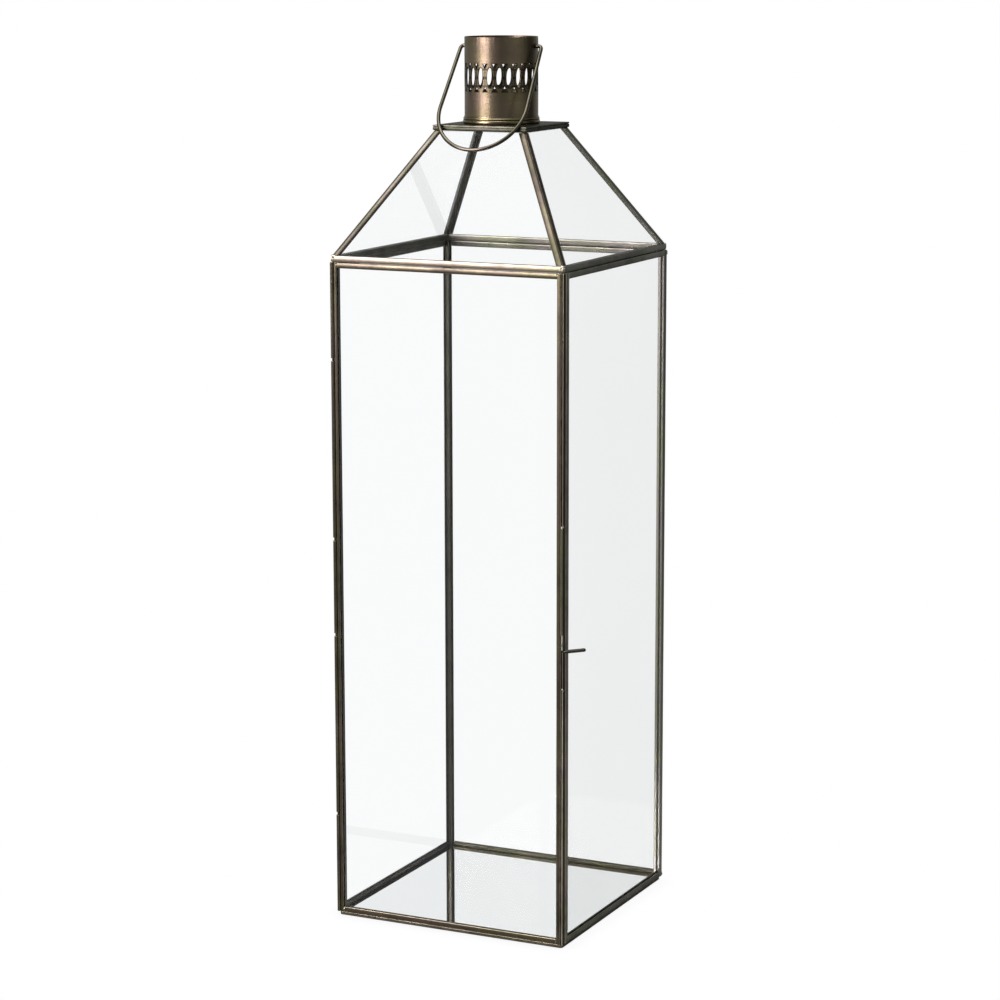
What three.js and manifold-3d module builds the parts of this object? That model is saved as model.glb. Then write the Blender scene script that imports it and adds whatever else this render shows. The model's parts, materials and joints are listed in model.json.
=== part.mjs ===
// A hanging glass lantern with a hinged glass door, in millimetres, +Z up.
// The origin is the centre of the underside of the base tray, and the door faces -Y.
import * as THREE from 'three';
import { mergeVertices } from 'three/addons/utils/BufferGeometryUtils.js';
import Module from 'manifold-3d';

const wasm = await Module();
wasm.setup();

// ---- driving dimensions -----------------------------------------------------------------
const HALF = 100;                 // half the width and half the depth of the glazed body
const GAP = 0.3;                  // clearance between pieces that are soldered or laid together

const TRAY_HEIGHT = 2.6;          // folded sheet tray under the body
const TRAY_SHEET = 1.0;
const TRAY_INSET = 1.6;
const MIRROR_THICKNESS = 3.0;

const BODY_BOTTOM = TRAY_HEIGHT + GAP;
const BODY_TOP = 526.2;
const CAME_DEPTH = 4.4;           // depth of a grooved bar, through the face it frames
const POST_WIDTH = 6.0;
const FRONT_POST_WIDTH = 5.4;
const RAIL_HEIGHT = 4.7;
const GLASS = 1.8;
const GROOVE = 2.4;
const GROOVE_DEPTH = 1.6;
const GLASS_BITE = GROOVE_DEPTH - GAP;      // how far a pane reaches into its groove

const DOOR_DEPTH = 4.0;           // the door sits flush in front of the front posts
const DOOR_BOTTOM = 3.1;
const DOOR_TOP = 526.1;
const HINGE_STILE_WIDTH = 2.8;
const LATCH_STILE_WIDTH = 3.9;
const DOOR_RAIL_HEIGHT = 4.3;
const DOOR_LEFT = -96.5;
const DOOR_RIGHT = 97.7;
const JAMB_WIDTH = 1.9;
const JAMB_JOINT_Z = 206.7;       // the jamb strip is in two lengths, which meet here

const HINGE = { x: -98.4, y: -98.4, tube: 1.6, bore: 1.1, rod: 0.8 };
const HINGE_BREAKS = [DOOR_BOTTOM, 84.2, 230.8, 307.9, 450.2, DOOR_TOP];
const KNUCKLE_GAP = 2.4;          // the rod shows between one tube and the next

const LATCH = { x: 99.6, y: -101.75, tube: 1.45, bore: 1.0, wire: 0.75 };
const LATCH_TUBE_Z = [250.5, 333.5];
const LEVER_Z = 237.4;
const LEVER_LENGTH = 18.3;
const LEVER_RADIUS = 1.4;
const LEVER_TURN = THREE.MathUtils.degToRad(20);    // lever points this far back from +X
const LEVER_RISE = THREE.MathUtils.degToRad(7);
const LEVER_BEND = 1.6;           // radius of the bend between the wire's leg and its lever
const LEVER_TAPER = { neck: 5, full: 9 };           // the lever thickens between these distances
const LATCH_HEAD = { radius: 1.3, height: 1.0 };

const ROOF_RAIL = { half: 99.2, width: 5.0, z: [526.5, 531.3] };
const CAP_RAIL = { half: 40.2, width: 4.6, z: [625.6, 628.7] };
const HIP_Z = [ROOF_RAIL.z[1] + GAP, CAP_RAIL.z[0] - GAP];
const HIP_HALF = [98.6, 39.8];    // half-width of the roof's outer planes at those heights
const HIP_LEG = 6.5;
const CAP_PLATE = { half: 40.0, z: [CAP_RAIL.z[1] + GAP, 630.0], vent: 25.0 };

const CHIMNEY = { radius: 28.8, wall: 0.9, z: [CAP_PLATE.z[1] + GAP, 697.2] };
const VENT_COUNT = 23;
const VENT_START = THREE.MathUtils.degToRad(-4.5);  // angle of the first vent from +X
const VENT = { width: 5.0, height: 15.6, z: 666.2, points: 5 };
const PIERCING = { width: 4.0, height: 4.4, z: [655.4, 676.9] };    // rows of small triangles
const FOOT = { outer: 29.9, height: 5.6 };

const BAIL = { wire: 1.5, pivotZ: 690.0, hole: 1.9, tilt: THREE.MathUtils.degToRad(34.9) };
const BAIL_END = 25.8;            // the wire's ends stop here, inside the chimney
const BAIL_STRAIGHT = 31.5;       // half-width at which the wire leaves the pivot line
const BAIL_SHOULDER = 34.8;       // half-width just below the pivots
const BAIL_BEND = 3.6;            // drop from the pivot line to the shoulder
const BAIL_ARC = { radius: 37.0, centre: 57.5 };
const BAIL_STEPS = 56;

// ---- materials --------------------------------------------------------------------------
const brass = new THREE.MeshStandardMaterial({ color: 0x6f6350, roughness: 0.42, metalness: 1.0 });
const darkBrass = new THREE.MeshStandardMaterial({ color: 0x4b443b, roughness: 0.5, metalness: 1.0 });
const glass = new THREE.MeshStandardMaterial({
  color: 0xeef2f0, roughness: 0.03, metalness: 0.0, transparent: true, opacity: 0.2,
});
const silvered = new THREE.MeshStandardMaterial({ color: 0xd9dcdc, roughness: 0.02, metalness: 1.0 });

const lantern = new THREE.Group();

function add(name, geometry, material) {
  const mesh = new THREE.Mesh(geometry, material);
  mesh.name = name;
  lantern.add(mesh);
  return mesh;
}

// ---- solids -----------------------------------------------------------------------------
function toSolid(geometry) {
  const bare = geometry.clone();
  bare.deleteAttribute('normal');
  bare.deleteAttribute('uv');
  const merged = mergeVertices(bare, 1e-4);
  return new wasm.Manifold(new wasm.Mesh({
    numProp: 3,
    vertProperties: new Float32Array(merged.attributes.position.array),
    triVerts: new Uint32Array(merged.index.array),
  }));
}

function toGeometry(solid) {
  const mesh = solid.getMesh();
  const geometry = new THREE.BufferGeometry();
  geometry.setAttribute('position', new THREE.BufferAttribute(mesh.vertProperties, 3));
  geometry.setIndex(new THREE.BufferAttribute(mesh.triVerts, 1));
  return geometry;
}

function boxBetween(low, high) {
  const size = high.map((value, axis) => value - low[axis]);
  const middle = high.map((value, axis) => (value + low[axis]) / 2);
  return new THREE.BoxGeometry(...size).translate(...middle);
}

function polygon(points) {
  return new THREE.Shape(points.map(([x, y]) => new THREE.Vector2(x, y)));
}

function prism(shape, z0, z1) {
  return new THREE.ExtrudeGeometry(shape, { depth: z1 - z0, bevelEnabled: false, curveSegments: 24 })
    .translate(0, 0, z0);
}

function tubeSection(outer, inner, height) {
  const corners = [[inner, 0], [outer, 0], [outer, height], [inner, height], [inner, 0]];
  return corners.map(([r, z]) => new THREE.Vector2(r, z));
}

function lathe(profile, segments) {
  return new THREE.LatheGeometry(profile, segments).rotateX(Math.PI / 2);
}

function tube(outer, inner, z0, z1, segments) {
  return lathe(tubeSection(outer, inner, z1 - z0), segments).translate(0, 0, z0);
}

// A bar of rectangular section with one groove along it, lying along +Z from z = 0.
// The section's outer face is y = 0, its groove opens at x = width.
function groovedSection(width, depth) {
  const near = (depth - GROOVE) / 2;
  return polygon([
    [0, 0], [width, 0], [width, near], [width - GROOVE_DEPTH, near],
    [width - GROOVE_DEPTH, near + GROOVE], [width, near + GROOVE], [width, depth], [0, depth],
  ]);
}

function groovedBar(width, depth, length) {
  return prism(groovedSection(width, depth), 0, length);
}

// A square corner section whose outer corner is the origin, with a groove for each of the two
// panes that meet at the corner. depth is the framed depth, and groove its width.
function cornerSection(leg, depth, groove) {
  const near = (depth - groove) / 2;
  const far = near + groove;
  const floor = leg - GROOVE_DEPTH;
  return polygon([
    [0, 0], [leg, 0], [leg, near], [floor, near], [floor, far], [leg, far], [leg, leg],
    [far, leg], [far, floor], [near, floor], [near, leg], [0, leg],
  ]);
}

// ---- base -------------------------------------------------------------------------------
function addBase() {
  const half = HALF - TRAY_INSET;
  const inner = half - TRAY_SHEET;
  const block = toSolid(boxBetween([-half, -half, 0], [half, half, TRAY_HEIGHT]));
  const hollow = toSolid(boxBetween([-inner, -inner, TRAY_SHEET], [inner, inner, TRAY_HEIGHT + 1]));
  add('base_tray', toGeometry(block.subtract(hollow)), darkBrass);

  const mirrorHalf = HALF - POST_WIDTH - GAP;
  const mirrorBottom = TRAY_SHEET + GAP;
  add('mirror_floor', boxBetween(
    [-mirrorHalf, -mirrorHalf, mirrorBottom],
    [mirrorHalf, mirrorHalf, mirrorBottom + MIRROR_THICKNESS],
  ), silvered);
}

// ---- fixed frame of the body ------------------------------------------------------------
const FRONT_POST_START = -HALF + DOOR_DEPTH + GAP;
const FRONT_POST_Y = [FRONT_POST_START, FRONT_POST_START + FRONT_POST_WIDTH];

function addPosts() {
  const corner = cornerSection(POST_WIDTH, CAME_DEPTH, GROOVE);
  for (const [side, turn] of [['left', -Math.PI / 2], ['right', Math.PI]]) {
    const x = side === 'left' ? -HALF : HALF;
    const post = prism(corner, 0, BODY_TOP - BODY_BOTTOM).rotateZ(turn).translate(x, HALF, BODY_BOTTOM);
    add(`post_back_${side}`, post, brass);
  }
  for (const [side, outward] of [['left', -1], ['right', 1]]) {
    const post = groovedBar(FRONT_POST_WIDTH, CAME_DEPTH, BODY_TOP - BODY_BOTTOM).rotateZ(Math.PI / 2);
    const x = outward > 0 ? HALF : -HALF + CAME_DEPTH;
    add(`post_front_${side}`, post.translate(x, FRONT_POST_Y[0], BODY_BOTTOM), brass);
  }
}

// The strip that the door closes against runs up the front right corner in two lengths.
function addJamb() {
  const x = [HALF - JAMB_WIDTH, HALF];
  const y = [-HALF, -HALF + DOOR_DEPTH];
  add('jamb_strip_lower', boxBetween([x[0], y[0], BODY_BOTTOM], [x[1], y[1], JAMB_JOINT_Z]), brass);
  add('jamb_strip_upper', boxBetween([x[0], y[0], JAMB_JOINT_Z + GAP], [x[1], y[1], BODY_TOP]), brass);
}

// A rail lies along +X from x = 0, its outer face at y = 0 and its outer edge at z = 0, with
// the groove facing up; a top rail is the same bar turned over.
function railAlongX({ height, depth, length, isTop }) {
  const bar = groovedBar(height, depth, length);
  bar.applyMatrix4(new THREE.Matrix4().makeBasis(
    new THREE.Vector3(0, 0, isTop ? -1 : 1),
    new THREE.Vector3(0, 1, 0),
    new THREE.Vector3(isTop ? 1 : -1, 0, 0),
  ));
  return isTop ? bar : bar.translate(length, 0, 0);
}

function addSideRails() {
  const sideStart = FRONT_POST_Y[1] + GAP;
  const sideLength = HALF - POST_WIDTH - GAP - sideStart;
  const backStart = -HALF + POST_WIDTH + GAP;
  const backLength = -2 * backStart;
  for (const [level, z] of [['bottom', BODY_BOTTOM], ['top', BODY_TOP]]) {
    const bar = { height: RAIL_HEIGHT, depth: CAME_DEPTH, length: sideLength, isTop: level === 'top' };
    const right = railAlongX(bar).rotateZ(Math.PI / 2);
    add(`rail_${level}_right`, right.translate(HALF, sideStart, z), brass);
    const left = railAlongX(bar).rotateZ(-Math.PI / 2);
    add(`rail_${level}_left`, left.translate(-HALF, sideStart + sideLength, z), brass);
    const back = railAlongX({ ...bar, length: backLength }).rotateZ(Math.PI);
    add(`rail_${level}_back`, back.translate(-backStart, HALF, z), brass);
  }
}

function addFixedPanes() {
  const z = [BODY_BOTTOM + RAIL_HEIGHT - GLASS_BITE, BODY_TOP - RAIL_HEIGHT + GLASS_BITE];
  const outer = HALF - (CAME_DEPTH - GLASS) / 2;
  const inner = outer - GLASS;
  const front = FRONT_POST_Y[1] - GLASS_BITE;
  const back = HALF - POST_WIDTH + GLASS_BITE;
  add('pane_right', boxBetween([inner, front, z[0]], [outer, back, z[1]]), glass);
  add('pane_left', boxBetween([-outer, front, z[0]], [-inner, back, z[1]]), glass);
  add('pane_back', boxBetween([-back, inner, z[0]], [back, outer, z[1]]), glass);
}

// ---- door -------------------------------------------------------------------------------
function addDoor() {
  const height = DOOR_TOP - DOOR_BOTTOM;
  const hingeStile = groovedBar(HINGE_STILE_WIDTH, DOOR_DEPTH, height);
  add('door_stile_hinge', hingeStile.translate(DOOR_LEFT, -HALF, DOOR_BOTTOM), brass);
  const latchStile = groovedBar(LATCH_STILE_WIDTH, DOOR_DEPTH, height).rotateZ(Math.PI);
  add('door_stile_latch', latchStile.translate(DOOR_RIGHT, -HALF + DOOR_DEPTH, DOOR_BOTTOM), brass);

  const left = DOOR_LEFT + HINGE_STILE_WIDTH + GAP;
  const right = DOOR_RIGHT - LATCH_STILE_WIDTH - GAP;
  for (const [level, z] of [['bottom', DOOR_BOTTOM], ['top', DOOR_TOP]]) {
    const bar = { height: DOOR_RAIL_HEIGHT, depth: DOOR_DEPTH, length: right - left, isTop: level === 'top' };
    add(`door_rail_${level}`, railAlongX(bar).translate(left, -HALF, z), brass);
  }

  const y = -HALF + (DOOR_DEPTH - GLASS) / 2;
  const railInset = DOOR_RAIL_HEIGHT - GLASS_BITE;
  add('door_glass', boxBetween(
    [DOOR_LEFT + HINGE_STILE_WIDTH - GLASS_BITE, y, DOOR_BOTTOM + railInset],
    [DOOR_RIGHT - LATCH_STILE_WIDTH + GLASS_BITE, y + GLASS, DOOR_TOP - railInset],
  ), glass);
}

// Five lengths of tube on one rod: the first, third and fifth belong to the frame.
function addHinge() {
  const names = [
    'hinge_tube_bottom', 'door_knuckle_lower', 'hinge_tube_middle', 'door_knuckle_upper', 'hinge_tube_top',
  ];
  names.forEach((name, index) => {
    const low = HINGE_BREAKS[index] + (index > 0 ? KNUCKLE_GAP / 2 : 0);
    const high = HINGE_BREAKS[index + 1] - (index < names.length - 1 ? KNUCKLE_GAP / 2 : 0);
    const piece = tube(HINGE.tube, HINGE.bore, low, high, 16);
    add(name, piece.translate(HINGE.x, HINGE.y, 0), darkBrass);
  });
  const rod = new THREE.CylinderGeometry(HINGE.rod, HINGE.rod, DOOR_TOP - DOOR_BOTTOM, 12);
  add('hinge_rod', rod.rotateX(Math.PI / 2).translate(HINGE.x, HINGE.y, (DOOR_TOP + DOOR_BOTTOM) / 2), brass);
}

// ---- latch ------------------------------------------------------------------------------
// The wire's leg hangs in the tube from its head, then bends out into the thicker lever. As built,
// the lever points away from the door, and it turns about the tube's axis to lie across the stile.
function latchWire(out, foot) {
  const top = LATCH_TUBE_Z[1] + GAP + LATCH_HEAD.height / 2;
  const leg = (share) => new THREE.Vector3(0, 0, THREE.MathUtils.lerp(top, LEVER_Z + LEVER_BEND, share));
  const lever = (bends) => foot.clone().addScaledVector(out, LEVER_BEND * bends);
  const bend = new THREE.QuadraticBezierCurve3(leg(1), foot, lever(1));
  const path = new THREE.CatmullRomCurve3([
    leg(0), leg(0.5), leg(0.96), ...bend.getPoints(4), lever(2.5),
  ]);
  const section = new THREE.Shape().absarc(0, 0, LATCH.wire, 0, Math.PI * 2);
  return new THREE.ExtrudeGeometry(section, { steps: 60, extrudePath: path, curveSegments: 5 });
}

function leverProfile() {
  const straight = LEVER_LENGTH - LEVER_RADIUS;
  const profile = [
    new THREE.Vector2(0, LEVER_BEND),
    new THREE.Vector2(LATCH.wire, LEVER_BEND),
    new THREE.Vector2(LEVER_RADIUS * 0.9, LEVER_TAPER.neck),
    new THREE.Vector2(LEVER_RADIUS, LEVER_TAPER.full),
  ];
  for (let step = 0; step < 4; step += 1) {
    const angle = (step / 4) * (Math.PI / 2);
    profile.push(new THREE.Vector2(
      LEVER_RADIUS * Math.cos(angle),
      straight + LEVER_RADIUS * Math.sin(angle),
    ));
  }
  profile.push(new THREE.Vector2(0, LEVER_LENGTH));
  return profile;
}

function addLatch() {
  const latchTube = tube(LATCH.tube, LATCH.bore, LATCH_TUBE_Z[0], LATCH_TUBE_Z[1], 16);
  add('latch_tube', latchTube.translate(LATCH.x, LATCH.y, 0), darkBrass);

  const out = new THREE.Vector3(
    Math.cos(LEVER_TURN) * Math.cos(LEVER_RISE),
    Math.sin(LEVER_TURN) * Math.cos(LEVER_RISE),
    Math.sin(LEVER_RISE),
  );
  const foot = new THREE.Vector3(0, 0, LEVER_Z);
  const lever = new THREE.LatheGeometry(leverProfile(), 12);
  lever.applyQuaternion(new THREE.Quaternion().setFromUnitVectors(new THREE.Vector3(0, 1, 0), out));
  lever.translate(foot.x, foot.y, foot.z);
  const head = new THREE.CylinderGeometry(LATCH_HEAD.radius, LATCH_HEAD.radius, LATCH_HEAD.height, 12)
    .rotateX(Math.PI / 2)
    .translate(0, 0, LATCH_TUBE_Z[1] + GAP + LATCH_HEAD.height / 2);
  const solid = toSolid(latchWire(out, foot)).add(toSolid(head)).add(toSolid(lever));
  add('latch_lever', toGeometry(solid).translate(LATCH.x, LATCH.y, 0), darkBrass);
}

// ---- roof -------------------------------------------------------------------------------
const SIDES = ['front', 'right', 'back', 'left'];

// Four bars with mitred ends make a square frame; each is the front one turned about Z.
function addMitredFrame(prefix, { half, width, z }) {
  const inner = half - width;
  const outline = polygon([
    [-half + GAP, -half], [half - GAP, -half], [inner - GAP, -inner], [-inner + GAP, -inner],
  ]);
  SIDES.forEach((side, quarter) => {
    add(`${prefix}_${side}`, prism(outline, z[0], z[1]).rotateZ((quarter * Math.PI) / 2), brass);
  });
}

const HIP_LEAN = (HIP_HALF[0] - HIP_HALF[1]) / (HIP_Z[1] - HIP_Z[0]);
const ROOF_SLOPE_FACTOR = Math.hypot(1, HIP_LEAN);      // horizontal thickness over true thickness

function roofHalfAt(z) {
  return HIP_HALF[0] - HIP_LEAN * (z - HIP_Z[0]);
}

// Every level cut through a hip is the same corner section, so the bar is a sheared prism.
function addHips() {
  const section = cornerSection(HIP_LEG, CAME_DEPTH * ROOF_SLOPE_FACTOR, GROOVE * ROOF_SLOPE_FACTOR);
  const names = ['front_left', 'front_right', 'back_right', 'back_left'];
  names.forEach((name, quarter) => {
    const bar = prism(section, 0, HIP_Z[1] - HIP_Z[0]);
    bar.applyMatrix4(new THREE.Matrix4().set(
      1, 0, HIP_LEAN, -HIP_HALF[0],
      0, 1, HIP_LEAN, -HIP_HALF[0],
      0, 0, 1, HIP_Z[0],
      0, 0, 0, 1,
    ));
    add(`hip_${name}`, bar.rotateZ((quarter * Math.PI) / 2), brass);
  });
}

// A pane fills the space between two hips: a slab whose width follows the roof's taper.
function addRoofPanes() {
  const outerInset = ((CAME_DEPTH - GLASS) / 2) * ROOF_SLOPE_FACTOR;
  SIDES.forEach((side, quarter) => {
    const pane = new THREE.BoxGeometry(2, 1, 1).translate(0, 0.5, 0.5);
    const place = pane.attributes.position;
    for (let index = 0; index < place.count; index += 1) {
      const z = THREE.MathUtils.lerp(HIP_Z[0], HIP_Z[1], place.getZ(index));
      const half = roofHalfAt(z);
      const reach = half - HIP_LEG + GLASS_BITE;
      const depth = place.getY(index) * GLASS * ROOF_SLOPE_FACTOR;
      place.setXYZ(index, place.getX(index) * reach, -half + outerInset + depth, z);
    }
    add(`roof_pane_${side}`, pane.rotateZ((quarter * Math.PI) / 2), glass);
  });
}

function addCapPlate() {
  const { half, z, vent } = CAP_PLATE;
  const outline = polygon([[-half, -half], [half, -half], [half, half], [-half, half]]);
  outline.holes.push(new THREE.Path().absarc(0, 0, vent, 0, Math.PI * 2, true));
  add('cap_plate', prism(outline, z[0], z[1]), darkBrass);
}

// ---- chimney ----------------------------------------------------------------------------
function lensShape({ width, height, points }) {
  const side = (sign) => Array.from({ length: points }, (unused, index) => {
    const t = index / points;
    return [sign * (width / 2) * Math.sin(Math.PI * t), -sign * (height / 2) * Math.cos(Math.PI * t)];
  });
  return polygon([...side(1), ...side(-1)]);
}

// A small triangle on its base, pointing up for pointing = 1 and down for pointing = -1.
function triangleShape({ width, height }, pointing) {
  return polygon([[-width / 2, 0], [width / 2, 0], [0, pointing * height]]);
}

// A cutter stands on the chimney's wall, facing outwards at the given angle about Z.
function radialCutter(shape, angle, z) {
  const reach = 4;
  return prism(shape, CHIMNEY.radius - reach, CHIMNEY.radius + reach)
    .applyMatrix4(new THREE.Matrix4().makeBasis(
      new THREE.Vector3(-Math.sin(angle), Math.cos(angle), 0),
      new THREE.Vector3(0, 0, 1),
      new THREE.Vector3(Math.cos(angle), Math.sin(angle), 0),
    ))
    .translate(0, 0, z);
}

function addChimney() {
  const { radius, wall, z } = CHIMNEY;
  let solid = toSolid(tube(radius, radius - wall, z[0], z[1], 72));
  const cut = (shape, angle, height) => {
    solid = solid.subtract(toSolid(radialCutter(shape, angle, height)));
  };
  const lens = lensShape(VENT);
  const triangles = [triangleShape(PIERCING, 1), triangleShape(PIERCING, -1)];
  const step = (Math.PI * 2) / VENT_COUNT;
  for (let index = 0; index < VENT_COUNT; index += 1) {
    const angle = VENT_START + index * step;
    cut(lens, angle, VENT.z);
    triangles.forEach((triangle, row) => cut(triangle, angle + step / 2, PIERCING.z[row]));
  }
  const pivotHole = new THREE.Shape().absarc(0, 0, BAIL.hole, 0, Math.PI * 2);
  cut(pivotHole, 0, BAIL.pivotZ);
  cut(pivotHole, Math.PI, BAIL.pivotZ);
  add('chimney', toGeometry(solid), brass);

  const inner = radius + GAP;
  const { outer, height } = FOOT;
  const neck = (inner + outer) / 2;
  const profile = [
    [inner, 0], [outer, 0], [outer, height * 0.3], [neck, height * 0.45],
    [outer, height * 0.62], [outer, height * 0.85], [inner, height], [inner, 0],
  ].map(([r, y]) => new THREE.Vector2(r, y));
  add('chimney_foot_ring', lathe(profile, 48).translate(0, 0, z[0]), brass);
}

// ---- bail handle ------------------------------------------------------------------------
// The wire is drawn in its own plane, x across and s away from the pivots, then tilted.
function bailPath() {
  const { radius, centre } = BAIL_ARC;
  const flat = new THREE.Path();
  flat.moveTo(-BAIL_END, 0);
  flat.lineTo(-BAIL_STRAIGHT, 0);
  flat.quadraticCurveTo(-BAIL_SHOULDER, 0, -BAIL_SHOULDER, BAIL_BEND);
  flat.lineTo(-radius, centre);
  flat.absarc(0, centre, radius, Math.PI, 0, true);
  flat.lineTo(BAIL_SHOULDER, BAIL_BEND);
  flat.quadraticCurveTo(BAIL_SHOULDER, 0, BAIL_STRAIGHT, 0);
  flat.lineTo(BAIL_END, 0);
  const points = flat.getSpacedPoints(BAIL_STEPS * 2).map(({ x, y }) => new THREE.Vector3(
    x,
    -y * Math.sin(BAIL.tilt),
    BAIL.pivotZ - y * Math.cos(BAIL.tilt),
  ));
  return new THREE.CatmullRomCurve3(points);
}

function addBail() {
  const section = new THREE.Shape().absarc(0, 0, BAIL.wire, 0, Math.PI * 2);
  const options = { steps: BAIL_STEPS, extrudePath: bailPath(), curveSegments: 5 };
  add('bail_handle', new THREE.ExtrudeGeometry(section, options), darkBrass);
}

addBase();
addPosts();
addJamb();
addSideRails();
addFixedPanes();
addDoor();
addHinge();
addLatch();
addMitredFrame('roof_rail', ROOF_RAIL);
addHips();
addRoofPanes();
addMitredFrame('cap_rail', CAP_RAIL);
addCapPlate();
addChimney();
addBail();

export default lantern;
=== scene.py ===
"""The looks of a brass and glass lantern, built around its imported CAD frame.

Lengths are metres in the CAD's own frame: +Z up, the door faces -Y, the latch is at +X.
"""
import json
import math
import random

import bmesh
import bpy
from mathutils import Matrix, Vector, geometry, noise

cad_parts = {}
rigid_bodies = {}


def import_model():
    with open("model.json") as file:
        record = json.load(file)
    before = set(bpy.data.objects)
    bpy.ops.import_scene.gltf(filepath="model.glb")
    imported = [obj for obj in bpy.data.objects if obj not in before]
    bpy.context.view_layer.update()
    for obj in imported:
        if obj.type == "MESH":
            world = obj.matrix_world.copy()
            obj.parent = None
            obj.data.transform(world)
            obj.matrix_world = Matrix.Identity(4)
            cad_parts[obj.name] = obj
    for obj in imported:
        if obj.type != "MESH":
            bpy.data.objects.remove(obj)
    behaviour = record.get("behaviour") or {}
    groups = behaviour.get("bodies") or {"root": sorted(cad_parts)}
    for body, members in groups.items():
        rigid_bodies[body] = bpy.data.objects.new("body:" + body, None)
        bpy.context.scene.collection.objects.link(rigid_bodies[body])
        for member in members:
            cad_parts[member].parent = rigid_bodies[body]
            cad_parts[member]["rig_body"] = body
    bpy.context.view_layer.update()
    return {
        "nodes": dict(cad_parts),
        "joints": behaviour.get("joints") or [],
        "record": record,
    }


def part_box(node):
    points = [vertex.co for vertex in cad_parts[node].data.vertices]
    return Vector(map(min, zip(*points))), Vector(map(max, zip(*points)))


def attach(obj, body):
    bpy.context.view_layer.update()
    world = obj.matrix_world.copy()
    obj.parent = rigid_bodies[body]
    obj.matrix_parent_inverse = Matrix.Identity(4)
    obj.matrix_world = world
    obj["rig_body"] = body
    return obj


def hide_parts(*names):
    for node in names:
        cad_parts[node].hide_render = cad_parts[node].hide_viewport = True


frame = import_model()

MM = 0.001
SLOTS = {part["node"]: part["material_slot"] for part in frame["record"]["subparts"]}
JOINTS = {joint["name"]: joint for joint in frame["joints"]}
AXES = {
    "+X": Vector((1, 0, 0)), "-X": Vector((-1, 0, 0)),
    "+Y": Vector((0, 1, 0)), "-Y": Vector((0, -1, 0)),
    "+Z": Vector((0, 0, 1)), "-Z": Vector((0, 0, -1)),
}

# ---- driving dimensions that the frame doesn't state ---------------
GROOVE = 2.2 * MM                  # width of the channel that holds a pane
GROOVE_DEPTH = 1.6 * MM
CAME_DEPTH = 4.4 * MM              # thickness of each leg of a corner bar
CORNER_RADIUS = 0.75 * MM          # rounding of a bar's outward corners
CROWN = 0.22 * MM                  # how far a bar's outer faces are domed
CORNER_CROWN = 0.65 * MM           # the same for a corner bar
END_CHAMFER = 0.25 * MM
WOBBLE = 0.05 * MM                 # how far a hand-straightened bar wanders
WOBBLE_LENGTH = 30 * MM
WOBBLE_SHIFTS = ((9.3, -1.5, -7.9), (-4.7, 6.1, 2.3), (3.9, 8.7, -5.2))    # separate x, y and z
HIP_LEG = 6.5 * MM
HIP_LIP_CUT = 0.9 * MM             # how far a hip's inner lips are cut back
HIP_BITE = 0.3 * MM                # open depth of a hip's channel, which is filled with putty
ROOF_DROP = 0.25 * MM              # how far the roof's rails reach below their nodes
HINGE_TUBES = ("hinge_tube_bottom", "hinge_tube_middle", "hinge_tube_top")
KNUCKLES = ("door_knuckle_lower", "door_knuckle_upper")
HINGE_BORE = 1.1 * MM
LATCH_BORE = 1.0 * MM
TUBE_SIDES = 32
TUBE_SOFT = 0.3 * MM               # rounding of a tube's rims
LATCH_SHADE = (28, 29, 30, 31, 0, 1, 2, 3, 4, 5)    # the latch tube's columns next to the post, painted black as painted shade
WIRE_SIDES = 20
BAIL_WIRE = 1.5 * MM
BAIL_END = 25.8 * MM               # how far from the axis the wire's ends stop
BAIL_STRAIGHT = 31.5 * MM          # end of the straight pin that goes through the chimney
BAIL_SHOULDER = 34.8 * MM          # how far out the pin has bent down into the side
BAIL_BEND = 3.6 * MM               # depth of that bend
PIVOT_HOLE = 1.9 * MM              # radius of the chimney's holes for the wire
LEVER_FOOT = 237.4 * MM            # height where the lever leaves its leg
LEVER_LENGTH = 18.3 * MM
LEVER_THICK = 1.4 * MM             # the lever's radius
LEVER_THIN = 0.75 * MM             # its leg's radius
LEVER_BEND = 1.6 * MM
LEVER_HEAD = 1.3 * MM              # radius of the leg's head, which keeps it in the tube
LEVER_HEADING = math.radians(20)   # the lever's direction at rest, from +X
LEVER_RISE = math.radians(7)
SHEET = 0.9 * MM                   # chimney wall
RIM = 0.35 * MM                    # width of the chimney's softened top edge
RIM_SOFT = 0.2 * MM                # how far that edge draws in
VENT_COUNT = 23
VENT_START = math.radians(-4.5)
VENT = {"width": 5.0 * MM, "height": 15.6 * MM, "z": 0.6662}
PIERCING = {"width": 4.0 * MM, "height": 4.4 * MM, "z": (0.6554, 0.6769)}
PIERCING_EDGE = 0.7 * MM           # a row of points this far from a piercing keeps the sheet even
CELL_COLUMNS = 8
RING_SIDES = 96                    # segments of the foot ring and of the cap plate's hole
TRAY_SHEET = 1.0 * MM
TRAY_CORNER = 2.6 * MM
VENT_HOLE = 25.0 * MM              # radius of the hole in the cap plate
SAME = 0.01 * MM                   # points nearer than this are the same point

SHADE_REACH = 1.5 * MM             # gaps narrower than about this get painted shade, near black
# Near black: painted shade in gaps and where bars nearly touch, and the blackened edges of the chimney's
# holes.
PAINTED_BLACK = (0.014, 0.013, 0.011)
WHITE = (1.0, 1.0, 1.0)


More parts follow.
